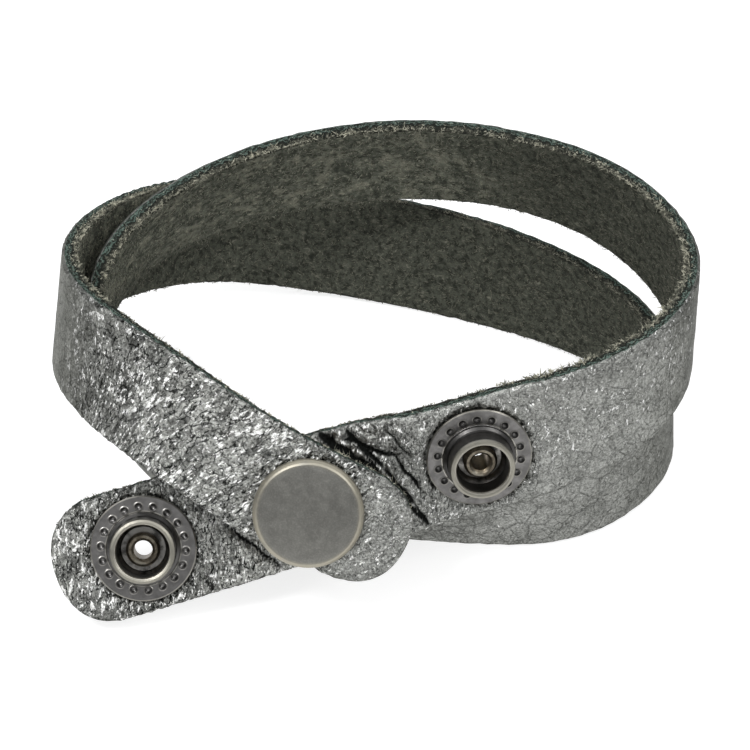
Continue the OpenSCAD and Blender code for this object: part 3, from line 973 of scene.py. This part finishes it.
def edgeFringe():
    rng = np.random.default_rng(7)
    count = int(strapLength * fibres["perMillimetre"])
    s = rng.uniform(0.4, strapLength - 0.4, count)
    side = np.where(rng.uniform(0, 1, count) < fibres["topShare"], 1.0, -1.0)
    clump = smoothNoise(s, side * 9.0, 1.1, 31.0) + 0.6 * smoothNoise(s, side * 9.0, 0.4, 33.0)
    shaggy = shaggyAt(s) * (side > 0)
    keep = rng.uniform(-0.55, 0.25, count) < clump + 0.3 * shaggy
    s, side, clump, shaggy = s[keep], side[keep], clump[keep], shaggy[keep]
    count = len(s)
    depth = rng.triangular(*fibres["depths"], count)
    half = halfWidthAt(s) - 0.06
    place, travel, across, face = strapFrame(s)
    roots = place + (side * half)[:, None] * across + depth[:, None] * face
    outward = side[:, None] * across * rng.uniform(*fibres["outward"], count)[:, None]
    inward = -face * rng.uniform(*fibres["inward"], count)[:, None]
    along = travel * rng.normal(0, fibres["spread"], count)[:, None]
    tuft = rng.uniform(0, 1, count) < fibres["tufted"]
    tuftThick = fibres["tuftThick"] * rng.uniform(0.6, 1.3, count) * (1 + 0.25 * shaggy)
    thick = np.where(tuft, tuftThick, fibres["thick"])
    tuftLengths = rng.uniform(*fibres["tuftLengths"], count)
    hairLengths = 0.2 + 0.8 * rng.power(0.4, count)
    lengths = fibres["longest"] * np.where(tuft, tuftLengths, hairLengths) * (0.75 + 0.8 * clump)
    trimmed = 0.45 * (1 - eased(48, 62, s)) + 0.35 * eased(strapLength - 72, strapLength - 60, s)
    lengths *= 1 - trimmed + 0.25 * shaggy
    lengths *= np.where(side > 0, 1, fibres["bottomLength"])
    sags = rng.normal(0, fibres["sag"], (count, 3))
    return tuftMesh("edgeFibres", roots, outward + inward + along, sags, lengths, thick, fibres["steps"])


def suedeNap():
    rng = np.random.default_rng(11)
    count = int(strapLength * strap["width"] * fibres["napPerSquare"])
    s = rng.uniform(0.8, strapLength - 0.8, count)
    v = rng.uniform(-1, 1, count) * (halfWidthAt(s) - 0.15)
    place, travel, across, face = strapFrame(s)
    roots = place + v[:, None] * across - 0.98 * face
    lie = 0.9 + 0.4 * smoothNoise(s, v, 4.0, 41.0)
    turn = np.pi * smoothNoise(s, v, 5.0, 43.0) + rng.normal(0, 0.7, count)
    flatWay = np.cos(turn)[:, None] * travel + np.sin(turn)[:, None] * across
    directions = flatWay * lie[:, None] - face * rng.uniform(0.12, 0.55, count)[:, None]
    sags = rng.normal(0, 0.2, (count, 3))
    lengths = fibres["napLength"] * rng.uniform(0.5, 1.3, count)
    keep = (clearOfStuds(s, v) >= fibres["studClear"]) & (clearOfCap(s, v) >= fibres["capClear"])
    kept = (values[keep] for values in (roots, directions, sags, lengths))
    return tuftMesh("suedeNap", *kept, fibres["napThick"], 1)


fringe = edgeFringe()
fringe.data.materials.append(makeFibre("fringeFibre", fibres["fringeDark"], fibres["fringePale"], 1.0))
nap = suedeNap()
nap.data.materials.append(makeFibre("napFibre", fibres["napDark"], fibres["napPale"], suede["paintedShadeRight"]))
for piece in (fringe, nap):
    piece.data.polygons.foreach_set("use_smooth", np.ones(len(piece.data.polygons), bool))
    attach(piece, "root")
print("fibres set:", len(fringe.data.polygons), "and", len(nap.data.polygons), "faces")


def lengthOf(tree, x, y):
    return mathNode(tree, "SQRT", plus(tree, times(tree, x, x), times(tree, y, y)))


# Metals. Each reads its own snap's axis, so that wear, painted shade and painted highlights follow the rims.
# Heights start at mid leather.
def snapPlaceNode(tree, at, side):
    place, travel, across, face = strapFrame(np.array([at]))
    centre = place[0] + side * across[0]
    turned = Matrix((travel[0], across[0], face[0])).transposed().to_euler()
    source = addNode(tree, "TexCoord").outputs["Object"]
    mapping = addNode(tree, "Mapping", vector_type="TEXTURE", Vector=source, Rotation=turned)
    fillSockets(tree, mapping, Location=Vector(centre * mm))
    x, y, z = parted(tree, mapping.outputs["Vector"])
    return mapping.outputs["Vector"], times(tree, lengthOf(tree, x, y), 1000), times(tree, z, 1000)


metal = {
    # Tone of each stud's gunmetal: lit and shaded copies of one metal, the right stud painted darker as
    # shade.
    "studPaintedShades": (0.62, 0.62, 0.42),
    "gunmetal": (0.34, 0.331, 0.322),
    "black": (0.030, 0.029, 0.028),
    "bowl": (0.33, 0.32, 0.30),
    "worn": (0.29, 0.278, 0.238),
    "bright": (0.56, 0.54, 0.48),
    "brass": (0.21, 0.165, 0.105),
    "domeRadius": 60.0,
    "pewter": (0.29, 0.286, 0.262),
    "pewterDark": (0.255, 0.251, 0.230),
    "pewterRimWearAndHighlight": (0.37, 0.345, 0.28),
}
# The ring of dimples on a stud's flange, in millimetres.
dimples = {"count": 18, "ring": 4.975, "radius": 0.45}


# Distance from the middle of the nearest dimple.
def dimplePlace(tree, place, radius):
    x, y, z = parted(tree, place)
    step = 2 * math.pi / dimples["count"]
    turn = mathNode(tree, "DIVIDE", mathNode(tree, "ARCTAN2", y, x), step)
    offset = minus(tree, turn, mathNode(tree, "ROUND", turn))
    around = times(tree, offset, step * dimples["ring"])
    return lengthOf(tree, around, minus(tree, radius, dimples["ring"]))


def metalBase(name, at, side):
    material, tree, shader = newMaterial(name)
    place, radius, height = snapPlaceNode(tree, at, side)
    fillSockets(tree, shader, Metallic=1.0)
    mottle = noiseNode(tree, place, 700, 4.0, 0.65)
    grainy = noiseNode(tree, place, 5200, 2.0, 0.6)
    return material, tree, shader, place, radius, height, mottle, grainy


def makeStudMetal(name, at, side, shade):
    material, tree, shader, place, radius, height, mottle, grainy = metalBase(name, at, side)
    # The gunmetal's tone follows this stud's painted shade.
    tone = rangeNode(tree, mottle, 0.35, 0.7, shade - 0.12, shade + 0.12)
    body = colourMix(tree, tone, metal["black"], metal["gunmetal"])
    dimple = dimplePlace(tree, place, radius)
    onFlange = times(tree, rangeNode(tree, height, 1.3, 1.4, 1, 0), rangeNode(tree, radius, 4.3, 4.4))
    # Painted shade in the dimples.
    dimpleShade = times(tree, 0.8, bandNode(tree, dimple, 0.12, 0.22, 0.43, 0.47))
    raised = times(tree, 0.30, bandNode(tree, dimple, 0.45, 0.50, 0.52, 0.64))
    # Painted highlight: a thin bright line round the barrel's foot.
    footHighlight = times(tree, 0.7, bandNode(tree, radius, 4.34, 4.40, 4.44, 4.54))
    # Painted shade on the concave foot of the barrel.
    flareShade = times(tree, 0.62, bandNode(tree, height, 1.25, 1.32, 2.0, 2.6))
    inside = rangeNode(tree, radius, 3.05, 3.12, 1, 0)
    # Painted shade on the cup's inner wall.
    wall = times(tree, inside, rangeNode(tree, height, 1.5, 2.1, 0, 0.75))
    bowlTone = colourMix(tree, rangeNode(tree, mottle, 0.36, 0.62, 0.15, 1), metal["black"], metal["bowl"])
    flangeEdge = rangeNode(tree, radius, 6.05, 6.22, 0, 0.8)
    flangeEdge = times(tree, flangeEdge, rangeNode(tree, mottle, 0.3, 0.6, 0.4, 1))
    rimWear = rangeNode(tree, height, 3.9, 4.25)
    rimWear = times(tree, rimWear, rangeNode(tree, mottle, 0.25, 0.5, 0.75, 1))
    # Painted highlight: a thin bright line inside the rim.
    rimHighlight = times(tree, 0.8, bandNode(tree, radius, 3.08, 3.14, 3.20, 3.30))
    rimHighlight = times(tree, rimHighlight, rangeNode(tree, height, 3.6, 3.9))
    body = layered(
        tree,
        body,
        (times(tree, dimpleShade, onFlange), metal["black"]),
        (times(tree, raised, onFlange), metal["worn"]),
        (footHighlight, metal["bright"]),
        (times(tree, flareShade, rangeNode(tree, radius, 3.7, 3.8)), metal["black"]),
        (times(tree, inside, rangeNode(tree, height, 1.6, 2.0, 1, 0)), bowlTone),
        (wall, metal["black"]),
        (flangeEdge, metal["worn"]),
        (rimWear, metal["worn"]),
        (rimHighlight, metal["bright"]),
    )
    rough = plus(tree, rangeNode(tree, grainy, 0.3, 0.7, 0.29, 0.40), times(tree, rimWear, 0.12))
    bowl = rangeNode(tree, dimple, 0.0, dimples["radius"])
    bowl = plus(tree, bowl, rangeNode(tree, dimple, 0.47, 0.62, 0.25, 0))
    normal = bumpNode(tree, times(tree, bowl, onFlange), 0.0002, 0.9)
    normal = bumpNode(tree, grainy, 0.00002, 0.5, normal)
    fillSockets(tree, shader, Base_Color=body, Roughness=rough, Normal=normal)
    return material


def makeEyeletMetal(name, at, side):
    material, tree, shader, place, radius, height, mottle, grainy = metalBase(name, at, side)
    lip = rangeNode(tree, height, 2.1, 2.5)
    stain = rangeNode(tree, mottle, 0.36, 0.60, 0, 0.5)
    stain = plus(tree, stain, rangeNode(tree, lip, 0, 1, 0.5, 0.2), clamp=True)
    body = colourMix(tree, stain, metal["black"], metal["brass"])
    lipWear = times(tree, lip, rangeNode(tree, mottle, 0.44, 0.62, 0.1, 0.7))
    body = colourMix(tree, lipWear, body, metal["worn"])
    rough = rangeNode(tree, grainy, 0.3, 0.7, 0.34, 0.46)
    normal = bumpNode(tree, mottle, 0.00005, 0.4)
    fillSockets(tree, shader, Base_Color=body, Roughness=rough, Normal=normal)
    return material


# One smooth dome over the cap's face, passing to its own shape at the edge.
def domeNormal(tree, place, radius, at):
    travel, across, face = (row[0] for row in strapFrame(np.array([at]))[1:])
    x, y, z = parted(tree, place)
    normal = face
    for output, way in ((x, travel), (y, across)):
        share = times(tree, output, 1 / (metal["domeRadius"] * mm))
        normal = vectorNode(tree, "ADD", vectorNode(tree, "SCALE", way, Scale=share), normal)
    own = addNode(tree, "NewGeometry").outputs["Normal"]
    both = addNode(tree, "Mix", data_type="VECTOR")
    for index, value in ((0, rangeNode(tree, radius, 4.9, 5.6)), (4, normal), (5, own)):
        fill(tree, both.inputs[index], value)
    return both.outputs[1]


def makeCapMetal(name, at, side):
    material, tree, shader, place, radius, height, mottle, grainy = metalBase(name, at, side)
    body = colourMix(tree, rangeNode(tree, mottle, 0.3, 0.7), metal["pewterDark"], metal["pewter"])
    body = colourMix(tree, rangeNode(tree, grainy, 0.35, 0.65, 0.16, 0), body, metal["black"])
    body = colourMix(tree, rangeNode(tree, grainy, 0.58, 0.70, 0, 0.10), body, metal["bright"])
    # Paler rounded rim: rubbed wear with a painted highlight along it.
    edge = times(tree, rangeNode(tree, radius, 5.5, 6.1), rangeNode(tree, mottle, 0.25, 0.55, 0.5, 1))
    body = colourMix(tree, edge, body, metal["pewterRimWearAndHighlight"])
    rough = rangeNode(tree, mottle, 0.3, 0.7, 0.38, 0.44)
    rough = plus(tree, rough, rangeNode(tree, radius, 5.7, 6.2, 0, 0.12))
    normal = bumpNode(tree, grainy, 0.000015, 0.6, domeNormal(tree, place, radius, at))
    fillSockets(tree, shader, Base_Color=body, Roughness=rough, Normal=normal)
    return material


def dress(node, material):
    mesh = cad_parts[node].data
    if not mesh.materials:
        mesh.materials.append(material)
    for index in range(len(mesh.materials)):
        mesh.materials[index] = material


for side, at, shade in zip(("left", "middle", "right"), studPlaces, metal["studPaintedShades"]):
    dress("stud_" + side, makeStudMetal(side + "StudMetal", at, 0.0, shade))
    dress("eyelet_" + side, makeEyeletMetal(side + "EyeletMetal", at, 0.0))
dress("cap", makeCapMetal("capPewter", *snapPlaces[3]))
dress("socket", makeEyeletMetal("socketMetal", *snapPlaces[3]))
print("metals set")

# Floor, light and camera.
stage = {
    "floorSize": 6.0,
    "floorDrop": 0.00005,
    "roomTint": (0.98, 0.99, 1),
    "roomHeights": (0.28, 0.88),
    "roomLow": 0.24,
    "roomHigh": 1.05,
    "floorTone": 0.42,
    "lightAim": (0, 0, 0.01),
    "glow": 0.79,
    "target": (0.72, -4.85, 11.74),
    "azimuth": 0.74,
    "elevation": 38.08,
    "roll": -0.19,
    "distance": 277.61,
    "pixelsPerMillimetre": 7.89,
    "middlePixel": (377.97, 388.48),
    "framePixels": 750,
}
bpy.ops.object.select_all(action="DESELECT")
bpy.ops.mesh.primitive_plane_add(size=stage["floorSize"], location=(0, 0, -stage["floorDrop"]))
floor = bpy.context.object
floor.name = "floor"
floorMaterial, floorTree, floorShader = newMaterial("paleFloor")
fillSockets(floorTree, floorShader, Base_Color=(stage["floorTone"],) * 3, Roughness=0.8)
fillSockets(floorTree, floorShader, Emission_Color=(1, 1, 1), Emission_Strength=stage["glow"])
fillSockets(floorTree, floorShader, Specular_IOR_Level=0.0)
floor.data.materials.append(floorMaterial)

world = bpy.data.worlds.new("softRoom")
bpy.context.scene.world = world
world.use_nodes = True
room = world.node_tree
roomHeight = parted(room, addNode(room, "TexCoord").outputs["Generated"])[2]
roomLight = rangeNode(room, roomHeight, *stage["roomHeights"], stage["roomLow"], stage["roomHigh"])
fillSockets(room, room.nodes["Background"], Color=stage["roomTint"], Strength=roomLight)


def softBox(name, place, aim, size, power):
    light = bpy.data.lights.new(name, "AREA")
    light.shape = "SQUARE"
    light.size = size
    light.energy = power
    box = bpy.data.objects.new(name, light)
    bpy.context.collection.objects.link(box)
    box.location = place
    box.rotation_euler = (Vector(aim) - Vector(place)).to_track_quat("-Z", "Y").to_euler()


# Each box: name, place, size and power.
softBoxes = (("keyBox", (-0.22, -0.24, 0.50), 0.14, 1.5), ("fillBox", (0.34, -0.20, 0.42), 0.16, 0.7))
for name, place, size, power in softBoxes:
    softBox(name, place, stage["lightAim"], size, power)

azimuth, elevation, roll = (math.radians(stage[k]) for k in ("azimuth", "elevation", "roll"))
right = Vector((math.cos(azimuth), math.sin(azimuth), 0))
level = math.cos(elevation)
back = Vector((math.sin(azimuth) * level, -math.cos(azimuth) * level, math.sin(elevation)))
above = back.cross(right)
rolledRight = math.cos(roll) * right + math.sin(roll) * above
rolledAbove = math.cos(roll) * above - math.sin(roll) * right
lens = bpy.data.cameras.new("camera")
lens.sensor_width = 36
lens.lens = stage["pixelsPerMillimetre"] * stage["distance"] / stage["framePixels"] * lens.sensor_width
lens.shift_x = -(stage["middlePixel"][0] - stage["framePixels"] / 2) / stage["framePixels"]
lens.shift_y = (stage["middlePixel"][1] - stage["framePixels"] / 2) / stage["framePixels"]
lens.clip_start = 0.01
camera = bpy.data.objects.new("camera", lens)
bpy.context.collection.objects.link(camera)
spot = (Vector(stage["target"]) + back * stage["distance"]) * mm
camera.matrix_world = Matrix((
    (rolledRight.x, rolledAbove.x, back.x, spot.x),
    (rolledRight.y, rolledAbove.y, back.y, spot.y),
    (rolledRight.z, rolledAbove.z, back.z, spot.z),
    (0, 0, 0, 1),
))
bpy.context.scene.camera = camera
bpy.context.scene.view_settings.view_transform = "Standard"
print("stage set")
